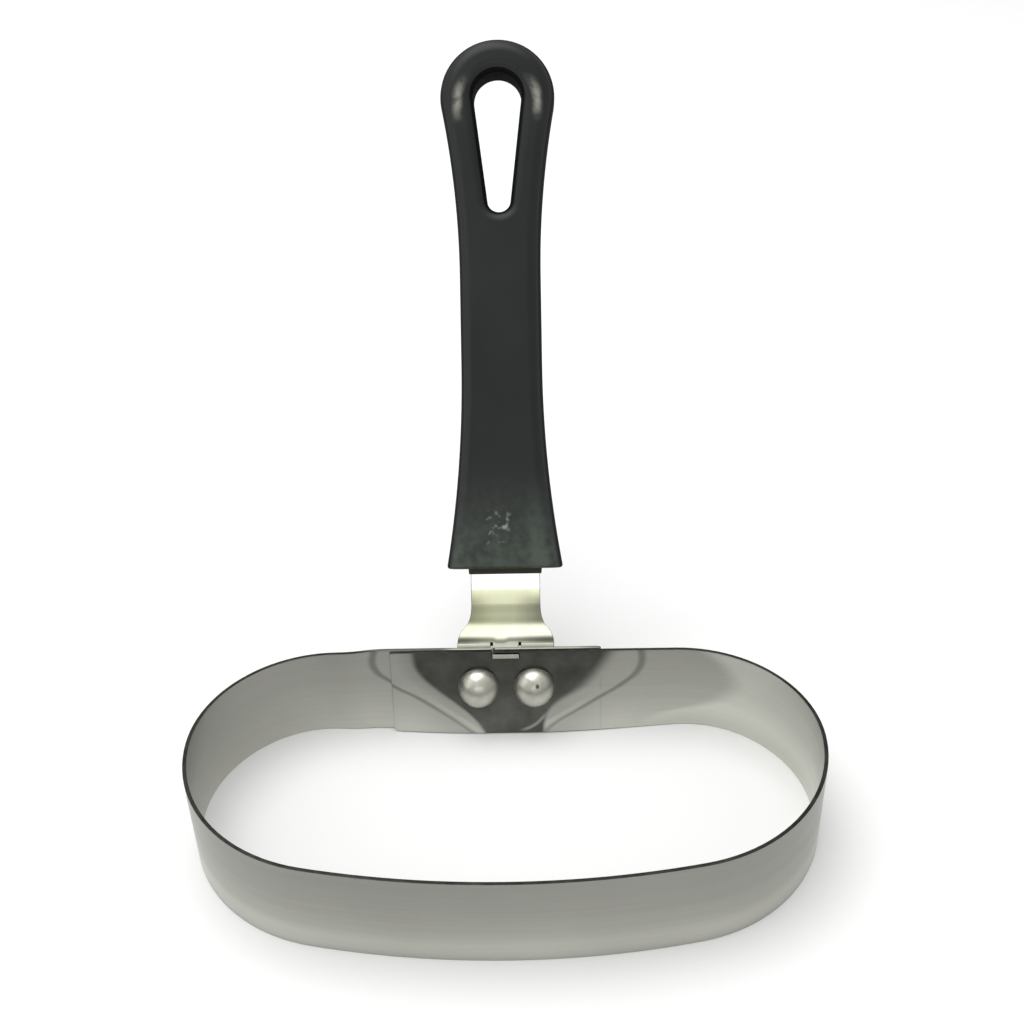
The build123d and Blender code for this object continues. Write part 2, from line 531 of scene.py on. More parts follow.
@dataclass(frozen=True)
class Finish(ABC):
    """What all finishes of the ring have in common. Their places are in millimetres."""

    name: str
    colour: Colour
    metal: float
    roughness: float
    specular: float = 0.5

    def material(self, effects: SharedEffects) -> Material:
        """Builds the material.

        Args:
            effects: The shared node groups.

        Returns:
            The finished material.
        """
        material = bpy.data.materials.new(self.name)
        material.use_nodes = True
        surface = Surface(material.node_tree, effects)
        inputs = material.node_tree.nodes["Principled BSDF"].inputs
        inputs["Metallic"].default_value = self.metal
        inputs["Specular IOR Level"].default_value = self.specular
        coat = self.coat(surface)
        bump = surface.add("Bump", {"Height": coat.height, "Strength": 1.0, "Distance": MM})
        surface.feed(inputs["Base Color"], coat.colour)
        surface.feed(inputs["Roughness"], coat.rough)
        surface.feed(inputs["Normal"], bump.outputs["Normal"])
        return material

    @abstractmethod
    def coat(self, surface: Surface) -> Coat:
        """Gives what covers the surface."""

    def uneven(self, noise: Number, low: float, high: float) -> Number:
        """Gives the roughness, which a noise varies between two shares of the finish's own."""
        return noise.ramp(0.3, 0.7, self.roughness * low, self.roughness * high)

    def tinted(self, shares: tuple[float, float, float]) -> Colour:
        """Gives the finish's colour with each channel taken times its share."""
        return (*(channel * share for channel, share in zip(self.colour, shares)), 1)


@dataclass(frozen=True)
class BandSteel(Finish):
    """Satin strip with a faint lengthwise grain and a tone from floor to rim that is painted light, standing
    in for the reflections of the floor and the studio.
    """

    # The tones are painted light: how bright the reflections are at each height of the strip.
    tones: Line = ((0, 0.4), (0.07, 0.6), (0.17, 0.6), (0.35, 0.45), (1, 0.3))
    height: float = 23

    def coat(self, surface: Surface) -> Coat:
        """Covers the strip.

        Args:
            surface: The material's graph.

        Returns:
            What covers the strip.
        """
        fine, broad = surface.grain((14, 14, 1500), 3.1)
        level = surface.here[2] / self.height
        # Painted light: the tone from floor to rim stands in for reflections; grain and clouds vary it.
        tone = level.curve(self.tones) * fine.ramp(0.25, 0.75, 0.975, 1.025)
        tone = tone * surface.cloud(0.035, 0.96, 1.04)
        tone, polish, press = self.pressed(surface, level, tone)
        rough = self.uneven(broad, 0.94, 1.08) * (1 - polish)
        return Coat(surface.shade(self.colour, tone), rough, fine * 0.0012 - press * 0.05)

    def pressed(self, surface: Surface, level: Number, tone: Number) -> tuple[Number, object, object]:
        """Leaves the outer side of the strip plain, with no painted reflection or shade, nothing polished
        and nothing pressed.
        """
        return tone, 0.0, 0.0


@dataclass(frozen=True)
class WallFold:
    """One side of the place round the rivets where the wall is pressed, as lines on the wall: the edge of
    the dark reflection that is painted there, and the crease along which shade and a highlight are painted.
    """

    side: int
    softness: float
    edge: Line
    crease: Line


@dataclass(frozen=True)
class InnerBandSteel(BandSteel):
    """The strip's inner side, polished where the wall is pressed round the rivets, with a dark reflection
    painted there.

    Each point of a line on the wall is a height and a distance from the middle.
    """

    # Painted light: the inner wall is lighter at the floor and darker towards the rim, standing in for
    # reflections.
    tones: Line = ((0, 0.75), (0.3, 0.5), (1, 0.35))
    # The rounded line past which the right end of the wall gets a painted sheen.
    sheen: Line = (
        (0, 34), (2.5, 35), (4, 38), (5.5, 44.5), (8, 49.5), (11, 52.5), (15, 54), (19, 52), (23, 47)
    )
    left: WallFold = WallFold(
        -1, 1.1,
        ((0, 5.4), (4, 8.2), (7.8, 12), (12, 16.6), (16.6, 20.6), (19, 21.6), (23, 22)),
        ((0, 8), (2, 10.6), (5.5, 15.4), (9.9, 21.6), (13.3, 27.2), (17.3, 31.2), (23, 31.1)),
    )
    right: WallFold = WallFold(
        1, 3.6,
        ((0, 9), (4.4, 9.6), (7.4, 11), (13, 17), (17, 20), (23, 23.4)),
        ((0, 9), (1.5, 10.2), (6.6, 18), (9.6, 22.6), (12.8, 27.3), (17.2, 31.4), (23, 31.9)),
    )
    fold_reach: float = 40
    sheen_reach: float = 70
    rear_front: float = -5
    lap_end: float = 22.5
    # Centre and radius of the painted highlight arc, in millimetres on the wall.
    arc_highlight_centre: tuple[float, float] = (2, 9)
    arc_highlight_radius: float = 8.1

    def pressed(self, surface: Surface, level: Number, tone: Number) -> tuple[Number, object, object]:
        """Paints a dark reflection on the pressed place and polishes it, and paints shade and highlights
        along its creases.

        Args:
            surface: The material's graph.
            level: Height of the surface point as a share of the strip's height.
            tone: The strip's tone so far.

        Returns:
            The tone, the share of roughness to take away, and the depth of the pressing.
        """
        x, y, z = surface.here
        rear = y > self.rear_front
        # The mask of the dark reflection painted on the pressed place is built here; the halo is painted
        # shade just outside its edges.
        dark_reflection, halo, creases, ridges = rear, rear, 0.0, 0.0
        for fold in (self.left, self.right):
            edge = self._line(level, fold.edge, self.fold_reach) - x * fold.side
            halo = halo * edge.ramp(-5.5, 0.5)
            dark_reflection = dark_reflection * edge.ramp(z.ramp(5, 13, -0.4, -fold.softness), 0.9)
            inside = self._line(level, fold.crease, self.fold_reach) - x * fold.side
            # Painted shade along each crease, and a painted highlight on the ridge just inside it.
            creases = inside.near(0, 0.1, 1.6) + creases
            ridges = inside.near(2.1, 0.3, 1.5) + ridges
        outside = rear * (1 - dark_reflection)
        # Painted shade along the creases, beside the pressed place and in the halo, less the painted
        # highlights on the ridges; the same marks set the bump's depth.
        marks = (creases * outside * 0.42).most(self._skirt_shade(x, z) * outside * 0.2)
        marks = marks.most(halo * outside * 0.22) - ridges * outside * 0.16
        # The painted dark reflection, with the painted highlight arc taken out of it.
        dark = dark_reflection * surface.cloud(0.006, 0.76, 0.86) - self._arc_highlight(surface) * 0.45
        shade = surface.maths("ADD", marks, dark, clamp=True)
        return tone * self._right_sheen(x, z, level) * (1 - shade), dark_reflection * 0.35, marks

    def _right_sheen(self, x: Number, z: Number, level: Number) -> Number:
        """Gives the factor of painted sheen that makes the strip lighter in its right end, past a rounded
        line, with painted shade low in that end.
        """
        share = (x - self._line(level, self.sheen, self.sheen_reach)).ramp(-3.2, 3.2)
        return (share * 0.41 + 0.95) * (1 - share * z.ramp(0, 7.5, 0.28, 0))

    def _skirt_shade(self, x: Number, z: Number) -> Number:
        """Gives the painted shade in a skirt low beside the pressed place, and the painted shade along the
        lap's far end.
        """
        return (x.near(0, 11, 25) * z.ramp(5, 15, 1, 0)).most(x.near(self.lap_end, 0.1, 0.45, 0.45))

    def _arc_highlight(self, surface: Surface) -> Number:
        """Gives the painted highlight, an arc in the pressed place, low on its right.

        Args:
            surface: The material's graph.

        Returns:
            The strength of the arc.
        """
        x, _, z = surface.here
        away = surface.length(x - self.arc_highlight_centre[0], z - self.arc_highlight_centre[1])
        return away.near(self.arc_highlight_radius, 0.1, 0.6, 0.7) * x.ramp(2.5, 5) * z.ramp(4, 6, 1, 0)

    def _line(self, level: Number, line: Line, reach: float) -> Number:
        """Gives how far from the middle a line on the wall lies, up to its reach, at each height."""
        return level.curve(tuple((z / self.height, x / reach) for z, x in line)) * reach


@dataclass(frozen=True)
class CutEdge(Finish):
    """The dull dark edge that a strip has where it was slit and sheared, painted dark enough to stand in for
    the shade along the rim too.
    """

    # The colour of the painted light on edges that catch the light.
    light: Colour = (0.42, 0.425, 0.37, 1)
    paler: float = 2.2
    rim: float = 22.8
    rear_front: float = -3
    tongue_half: float = 3.2
    tongue_tip: float = -0.6
    lap_end: float = -26.5

    def coat(self, surface: Surface) -> Coat:
        """Covers the edges, with painted light on the lap's outer rim, at its end and on the tongue's tip,
        where edges catch the light.

        Args:
            surface: The material's graph.

        Returns:
            What covers the edges.
        """
        x, y, z = surface.here
        fine, _ = surface.grain((900, 900, 900), 1.7)
        tint = surface.blend(surface.cloud(0.003, 0.0, 1.0), self.colour, self.tinted((self.paler,) * 3))
        # Painted light on the lap's outer rim, the lap's end and the tongue's tip.
        on_rim, rear = z > self.rim, y > self.rear_front
        lap = (y < 1.8) * y.ramp(0.5, 0.7) * on_rim
        lap = lap * x.ramp(-16, -11, 0.25, 1) * x.ramp(15, 22, 1, 0.5)
        tip = (y < self.tongue_tip) * (abs(x) < self.tongue_half) * rear
        end = (x < self.lap_end) * rear * (1 - on_rim) * 0.6
        tint = surface.blend(lap.most(tip).most(end), tint, self.light)
        return Coat(tint, self.uneven(fine, 0.85, 1.15), fine * 0.006)


@dataclass(frozen=True)
class BracketSteel(Finish):
    """Bright bent sheet with painted reflections, darker in its bend, with a warm tint and fine handling
    marks.

    It has five plain tones of painted light and shade: the root, a dark line, the ledge, the bend and the
    riser.
    """

    # Painted reflections and shade along the sheet, from the root behind the wall to the riser.
    tones: Line = (
        (0, 0.2), (0.16, 0.2), (0.2, 0.1), (0.3, 0.4), (0.5, 0.4), (0.6, 0.6), (0.75, 0.6), (0.85, 0.95),
    )
    reach: float = 20
    ledge: float = 22
    warmth: tuple[float, float, float] = (0.98, 1, 0.72)
    swell: float = 0.47

    def coat(self, surface: Surface) -> Coat:
        """Covers the bracket, with a painted tone of light and shade that changes along the sheet.

        Args:
            surface: The material's graph.

        Returns:
            What covers the bracket.
        """
        x, y, z = surface.here
        fine, broad = surface.grain((600, 40, 40), 7.7)
        # The painted highlight on the ledge reaches further forward near the middle; below the ledge the
        # foot is in painted shade.
        shift = abs(x + 1.2).ramp(0.6, 2.2, 0, 0.6) * y.ramp(3.1, 3.7) * y.ramp(7, 9, 1, 0)
        plain = z.ramp(20.6, 21.3, 0.6, 1)
        bent = ((y - shift) / self.reach).curve(self.tones) - plain
        # Painted light on the top of the foot's bend, beside the tongue.
        beside = (abs(x) > 3.3) * y.ramp(3.2, 3.75, 0.5, 0)
        tone = (z > self.ledge) * (bent + beside) + plain
        # Painted shade in front of Y 1.6 mm, mainly on the tongue where it passes through the wall, and
        # painted shadow under the collar.
        tip, root = y.ramp(1.6, 2.2, 0.1, 1), z.ramp(30.4, 31.2, 1, 0.25)
        tone = tone * fine.ramp(0.3, 0.7, 0.97, 1.02) * tip * root * self._sides(x, y)
        height = fine * 0.001 + surface.maths("SMOOTH_MIN", y, 13.6, 1.4) * self.swell
        return Coat(surface.shade(self._tint(surface), tone), self.uneven(broad, 0.9, 1.15), height)

    def _tint(self, surface: Surface) -> Socket:
        """Gives the colour, warmer on the left and in the bend.

        Args:
            surface: The material's graph.

        Returns:
            The colour.
        """
        x, y, _ = surface.here
        side = x.ramp(-11, 2, 0.5, 0.1) * surface.cloud(0.008, 0.0, 1.0)
        bend = y.ramp(9.5, 11.5, 0, 0.55) * y.ramp(16.3, 17.6, 1, 0.2)
        share = surface.maths("ADD", side, bend, clamp=True)
        return surface.blend(share, self.colour, self.tinted(self.warmth))

    def _sides(self, x: Number, y: Number) -> Number:
        """Gives the painted shade towards the sheet's long edges, low in the bend and at the front."""
        where = y.near(13.4, 1.6, 3.4) + y.ramp(3.3, 3.8) * y.ramp(5, 7, 1, 0)
        return 1 - abs(x + 0.7).ramp(1, 10.5) * where * 0.55


@dataclass(frozen=True)
class RivetSteel(Finish):
    """Satin rivet with faint tumbling marks, a painted glint and painted light on top of each head, painted
    shade where it sits on the wall, and one small pit in the right one's head, a shallow dent with painted
    shade in it.
    """

    pit: tuple[float, float] = (7.45, 15.7)
    half_spacing: float = 6.65
    # Middle of the painted glint on each head, with X from that head's own axis, in millimetres.
    glint_middle: tuple[float, float, float] = (-0.6, -3.1, 16.8)

    def coat(self, surface: Surface) -> Coat:
        """Covers the rivets, with painted light on top and painted shade where the heads sit on the wall.

        Args:
            surface: The material's graph.

        Returns:
            What covers the rivets.
        """
        x, y, z = surface.here
        # Painted shade in the pit, which also has a dent in the bump.
        away = surface.length(x - self.pit[0], z - self.pit[1])
        pit = away.ramp(0.2, 0.6, 1, 0) * (y < -1)
        glint = self._glint(surface)
        # Painted light: the glint and a lighter top; the seat below gets painted shade.
        lit = glint * 0.2 + z.ramp(15.8, 17.8, 1, 1.35)
        tone = surface.cloud(0.004, 0.88, 1.06) * y.ramp(-0.9, -0.45, 1, 0.7) * lit * (1 - pit * 0.8)
        noise = surface.noise(700.0, 2.0)
        rough = self.uneven(noise, 0.85, 1.2) - glint * 0.08
        return Coat(surface.shade(self.colour, tone), rough, noise * 0.004 - pit * 0.12)

    def _glint(self, surface: Surface) -> Number:
        """Gives the uneven painted glint on top of each head, brighter than the rest.

        Args:
            surface: The material's graph.

        Returns:
            The patch, 1 in its middle and 0 outside.
        """
        x, y, z = surface.here
        own = x - surface.maths("SIGN", x) * self.half_spacing
        away = surface.length(*(part - glint_middle for part, glint_middle in zip((own, y, z), self.glint_middle)))
        return (away + surface.cloud(0.0018, -1.2, 1.2)).ramp(0.5, 2.4, 1, 0)


@dataclass(frozen=True)
class HandleSeat:
    """Where the handle starts on the bracket and how it leans."""

    start: tuple[float, float, float] = (0, 20.3268 * MM, 32.2358 * MM)
    lean: float = math.radians(56)

    @property
    def matrix(self) -> Matrix:
        """Turns handle coordinates, X across, Y along, Z out of the face, into the frame's."""
        return Matrix.Translation(self.start) @ Matrix.Rotation(self.lean, 4, "X")


@dataclass(frozen=True)
class MouldedPlastic(Finish):
    """Charcoal moulding with a fine spark finish, a parting line, specks of wear, painted shade along its
    rounded sides, painted highlights on the loop's arms and painted light on the collar.
    """

    seat: HandleSeat = HandleSeat()
    greyer_end: tuple[float, float, float] = (10.4, 10.8, 8.8)
    # Colour of the painted shade along the handle's rounded sides.
    side_shade: Colour = (0.0015, 0.0018, 0.0018, 1)
    # Colour of the painted highlights on the loop's arms.
    arm_highlight: Colour = (0.24, 0.24, 0.21, 1)
    speck: Colour = (0.32, 0.34, 0.3, 1)
    # Lighter olive painted on the collar, standing in for the light that falls on it.
    collar: Colour = (0.05, 0.05, 0.03, 1)
    speck_place: tuple[float, float, float] = (-1.4, 9.4, 5)
    loop_start: float = 112
    crest: float = 112.6

    def coat(self, surface: Surface) -> Coat:
        """Covers the handle, by its own coordinates across, along and out of its face.

        Args:
            surface: The material's graph.

        Returns:
            What covers the handle.
        """
        values = {"Location": self.seat.start, "Rotation": (self.seat.lean, 0, 0)}
        turned = surface.add("Mapping", {"Vector": surface.spot, **values}, vector_type="TEXTURE")
        right, along, depth = surface.axes(turned.outputs[0])
        cloud = surface.cloud(0.016, 0.0, 1.0)
        mottle = surface.cloud(0.0022, -0.2, 1.0)

        flare = along.ramp(-2, 26, 1, 0)
        # The plastic is greyer and mottled towards the flared end.
        greyer_end = surface.maths("MULTIPLY", flare, mottle * 0.5 + 0.42, clamp=True)
        # Painted shade along the rounded sides.
        sides = depth.near(0, 3.5, 4.8)
        tone = (greyer_end + cloud * 0.05 + right.near(8, 0.5, 3.5, 0.45) * flare) * (1 - sides)
        colour = surface.blend(tone, self.colour, self.tinted(self.greyer_end))
        # Over the plastic go the painted shade on the sides, the painted highlights on the loop, the specks
        # of wear and the collar's painted light.
        for share, layer in (
            (sides, self.side_shade),
            (self._shine(surface, abs(right), along, mottle) * (depth > 2), self.arm_highlight),
            (self._specks(surface), self.speck),
            (along.ramp(-0.25, -0.1, 1, 0), self.collar),
        ):
            colour = surface.blend(share, colour, layer)

        rough = surface.maths("ADD", cloud * 0.08 + self.roughness, greyer_end * 0.12, clamp=True)
        crown = (abs(right) / 10) ** 2.0 * 0.25
        height = surface.noise(1500.0, 2.0) * 0.006 + depth.near(0, 0.05, 0.3, 0.06) - crown
        return Coat(colour, rough.most(sides * 0.95), height)

    def _shine(self, surface: Surface, across: Number, along: Number, mottle: Number) -> Number:
        """Gives the broken highlights on both arms of the loop.

        Args:
            surface: The material's graph.
            across: Distance from the handle's middle plane.
            along: Distance from the flared end.
            mottle: The mottling that breaks the highlights up.

        Returns:
            Their strength.
        """
        away = surface.length(across, (along - self.loop_start).most(0.0))
        shine = away.near(9.6, 0.1, 1.7, 0.95) * along.near(self.crest, 0.5, 6.5)
        return shine * mottle.ramp(-0.1, 0.75, 0.25, 1)

    def _specks(self, surface: Surface) -> Number:
        """Gives the specks of wear low on the handle's face.

        Args:
            surface: The material's graph.

        Returns:
            Their strength.
        """
        place = self.seat.matrix @ (Vector(self.speck_place) * MM)
        values = {"Place": place, "Reach": 0.006, "Grain": 0.0016, "Amount": 0.7}
        return surface.shared(surface.effects.scuffs, **values)[0]


@dataclass(frozen=True)
class Dish:
    """How far riveting has pressed the foot of the rear wall, and what it carries, inwards."""

    depth: float = 3.4 * MM
    height: float = 23 * MM
    flat: float = 5 * MM
    reach: float = 58 * MM
    front: float = -8 * MM
    lift: float = 0.135 * MM

    def press(self, bm: Mesh) -> None:
        """Moves the vertices near the rear wall, most at the floor and not at all at the rim.

        Args:
            bm: The mesh.
        """
        for vert in bm.verts:
            low = 1 - vert.co.z / self.height
            across = (self.reach - abs(vert.co.x)) / (self.reach - self.flat)
            if low <= 0 or across <= 0 or vert.co.y < self.front:
                continue
            across = min(across, 1)
            share = low**2 * across**2 * (3 - 2 * across)
            vert.co.y -= self.depth * share
            vert.co.z += self.lift * share


@dataclass
class RingBand:
    """The strip bent on edge, with its lapped ends, its slot and its slit."""

    length: float = 140 * MM
    height: float = 23 * MM
    thickness: float = 0.9 * MM
    edge_rounding: float = 0.24 * MM
    corner: float = 29.51 * MM
    side: float = 36.65 * MM
    front: float = 196.95 * MM
    lap_left: float = 27.5 * MM
    lap_right: float = 22.5 * MM
    lap_offset: float = 1.05 * MM
    joggle_clearance: float = 0.5 * MM
    end_corner: float = 1.1 * MM
    slot_low: float = 21 * MM
    slot_high: float = 22.6 * MM
    slot_half: float = 3.2 * MM
    slit: float = 0.6 * MM
    rows: int = 7
    column: float = 2 * MM
    columns: int = 17
    closest: float = 0.5 * MM
    rear_front: float = -2 * MM
    arc_steps: int = 24
    joggle_steps: int = 6

    def build(self, dish: Dish, inner: Material, outer: Material, edge: Material) -> Piece:
        """Draws the strip round its route and cuts the slot and the slit.

        Args:
            dish: How the rear wall is pressed inwards.
            inner: Material of the strip's inner side.
            outer: Material of the strip's outer side.
            edge: Material of its cut edges.

        Returns:
            The finished piece.
        """
        half_length = (self.length - self.thickness) / 2
        rear_flat = half_length - self.corner
        half_turn = math.degrees(math.asin((half_length - self.side) / (self.front - self.side)))
        run = rear_flat - self.lap_left - self.joggle_clearance
        joggle = (run**2 + self.lap_offset**2) / (4 * self.lap_offset)
        sway = math.degrees(math.asin(run / (2 * joggle)))
        even = [self.slot_low * step / self.rows for step in range(self.rows)]
        levels = [*even, self.slot_low, self.slot_high, self.height]
        start = Vector((-self.lap_left, 0, 0))
        pen = Pen([start + UP * level for level in levels], start, ALONG_X, UP)
        self._lap(pen, rear_flat)
        side, corner = (self.side, half_turn - 90), (self.corner, -90)
        for radius, turn in (corner, side, (self.front, -2 * half_turn), side, corner):
            pen.bend(radius, turn, self.arc_steps)
        for turn in (sway, -sway):
            pen.bend(joggle, turn, self.joggle_steps)
        self._lap(pen, self.lap_right)
        doomed = [face for face in pen.bm.faces if self._is_cut(face.calc_center_median())]
        bmesh.ops.delete(pen.bm, geom=doomed, context="FACES")
        self._round_ends(pen.bm)
        dish.press(pen.bm)
        mark_sharp(pen.bm)
        piece = make_piece(pen.bm, "band_strip", "ring_band", inner)
        thicken(piece, self.thickness, self.edge_rounding, edge, outer)
        return piece

    def _lap(self, pen: Pen, end: float) -> None:
        """Draws a straight stretch along X that has rows of vertices at the slot's edges.

        Args:
            pen: The pen, at the start of the stretch.
            end: X where the stretch ends, in metres.
        """
        cuts = (-self.slot_half, self.slit - self.slot_half, self.slot_half)
        right = [self.slot_half + self.column * (n + 1) for n in range(self.columns)]
        left = [-x for x in right]
        start = pen.point.x
        for stop in sorted({*cuts, *left, *right, end}):
            if start + self.closest < stop <= end and (stop == end or stop < end - self.closest):
                pen.straight(stop - pen.point.x)

    def _is_cut(self, middle: Vector) -> bool:
        """Tells whether a face lies in the slot for the tongue or in the slit above it.

        Args:
            middle: The face's middle.

        Returns:
            Whether it is cut away.
        """
        if abs(middle.x) > self.slot_half or middle.y < self.rear_front:
            return False
        in_slot = self.slot_low < middle.z < self.slot_high
        return in_slot or (middle.z > self.slot_high and middle.x < self.slit - self.slot_half)

    def _round_ends(self, bm: Mesh) -> None:
        """Rounds the two corners at each end of the strip.

        Args:
            bm: The strip, still without its thickness.
        """
        far = [v for v in bm.verts if abs(v.co.x) > 3 * self.slot_half]
        corners = [v for v in far if len(v.link_edges) == 2 and v.link_edges[0].is_boundary]
        bevel(bm, corners, self.end_corner, 4, "VERTICES")


@dataclass
class HandleBracket:
    """The bent sheet with its foot, tongue, ledge, riser and the start of the stem."""

    seat: HandleSeat = HandleSeat()
    thickness: float = 1.2 * MM
    edge_rounding: float = 0.2 * MM
    foot_y: float = 2.1 * MM
    foot_bottom: float = 4.5 * MM
    foot_half: float = 11.5 * MM
    foot_corner: float = 4 * MM
    foot_corner_rows: tuple[float, ...] = (0.12, 0.3, 0.5, 0.7, 0.9, 1.48)
    foot_bend: float = 1.8 * MM
    ledge_z: float = 21.8 * MM
    ledge_reach: float = 9.3 * MM
    riser_radius: float = 7.5 * MM
    riser_length: float = 8.6 * MM
    stem_start: float = 6 * MM
    stem_taper: float = 3.4 / 16
    neck_half: float = 8.4 * MM
    tongue_half: float = 3.14 * MM
    tongue_front: float = -0.75 * MM
    window_half: float = 3.6 * MM
    window_low: float = 16.2 * MM
    middle_half: float = 1 * MM
    column: float = 2 * MM

    def build(self, dish: Dish, material: Material, edge: Material) -> Piece:
        """Draws the sheet from the foot up to the stem, then trims it.

        Args:
            dish: How the rear wall is pressed inwards.
            material: Material of both sides of the sheet.
            edge: Material of its cut edges.

        Returns:
            The finished piece.
        """
        beside = [self.window_half + self.column * n for n in range(4)]
        half = [self.middle_half, self.tongue_half, *beside, self.foot_half]
        across = [-x for x in reversed(half)] + half
        start = Vector((0, self.foot_y, self.foot_bottom))
        pen = Pen([start + ALONG_X * x for x in across], start, UP, ALONG_X)
        pen.straight(*(rise * MM for rise in self.foot_corner_rows))
        pen.straight(self.window_low - pen.point.z)
        pen.straight(self.ledge_z - self.foot_bend - pen.point.z)
        pen.bend(self.foot_bend, -90, 6)
        self._tongue(pen)
        pen.straight(*[(self.ledge_reach - pen.point.y) / 5] * 5)
        pen.bend(self.riser_radius, math.degrees(self.seat.lean), 14)
        pen.straight(*[self.riser_length / 3] * 3, self.stem_start)
        doomed = [face for face in pen.bm.faces if self._is_window(face.calc_center_median())]
        bmesh.ops.delete(pen.bm, geom=doomed, context="FACES")
        for vert in pen.bm.verts:
            vert.co.x = self._narrowed(vert.co)
        close_up(pen.bm)
        dish.press(pen.bm)
        mark_sharp(pen.bm)
        piece = make_piece(pen.bm, "bracket_sheet", "handle_bracket", material)
        thicken(piece, self.thickness, self.edge_rounding, edge, trim=True)
        return piece

    def _tongue(self, pen: Pen) -> None:
        """Draws the tongue forwards from the middle of the ledge's first row.

        Args:
            pen: The pen, at the ledge's first row.
        """
        middle = [e for e in pen.edges if all(abs(v.co.x) < self.tongue_half + 1e-6 for v in e.verts)]
        tip = only_verts(bmesh.ops.extrude_edge_only(pen.bm, edges=middle)["geom"])
        bmesh.ops.translate(pen.bm, verts=tip, vec=ALONG_Y * (self.tongue_front - pen.point.y))

    def _is_window(self, middle: Vector) -> bool:
        """Tells whether a face's middle lies in the window that the tongue leaves in the foot."""
        in_reach = self.window_low < middle.z < self.ledge_z - 0.02 * MM
        return in_reach and abs(middle.x) < self.window_half and middle.y < self.foot_y + self.foot_bend

    def _narrowed(self, place: Vector) -> float:
        """Gives the X that a vertex gets in the bracket's outline.

        Args:
            place: The vertex on the sheet of even width.

        Returns:
            Its new X, in metres.
        """
        half = self.foot_half
        rise = max(place.z - self.foot_bottom, 0)
        riser_y = self.ledge_reach + self.riser_radius * math.sin(self.seat.lean)
        if place.y < self.foot_y + 1e-6 and rise < self.foot_corner:
            half -= self.foot_corner - math.sqrt(self.foot_corner**2 - (self.foot_corner - rise) ** 2)
        elif place.y >= riser_y:
            inside = (self.seat.matrix.inverted() @ place).y
            half = self.neck_half - max(inside, 0) * self.stem_taper
        else:
            half = min(half, self.neck_half + self._flare(riser_y - place.y, riser_y))
        if abs(place.x) <= self.window_half + 1e-6:
            return place.x
        share = (abs(place.x) - self.window_half) / (self.foot_half - self.window_half)
        return math.copysign(self.window_half + share * (half - self.window_half), place.x)

    def _flare(self, back: float, riser_y: float) -> float:
        """Gives how much wider than the neck the sheet is on each side.

        Args:
            back: Distance back from the riser, along Y.
            riser_y: Y where the riser starts.

        Returns:
            The extra width, in metres.
        """
        long = riser_y - self.foot_y - self.foot_bend
        rise = self.foot_half - self.neck_half
        radius = (long**2 + rise**2) / (4 * rise)
        if back < long / 2:
            return radius - math.sqrt(radius**2 - back**2)
        return rise - radius + math.sqrt(radius**2 - max(long - back, 0) ** 2)


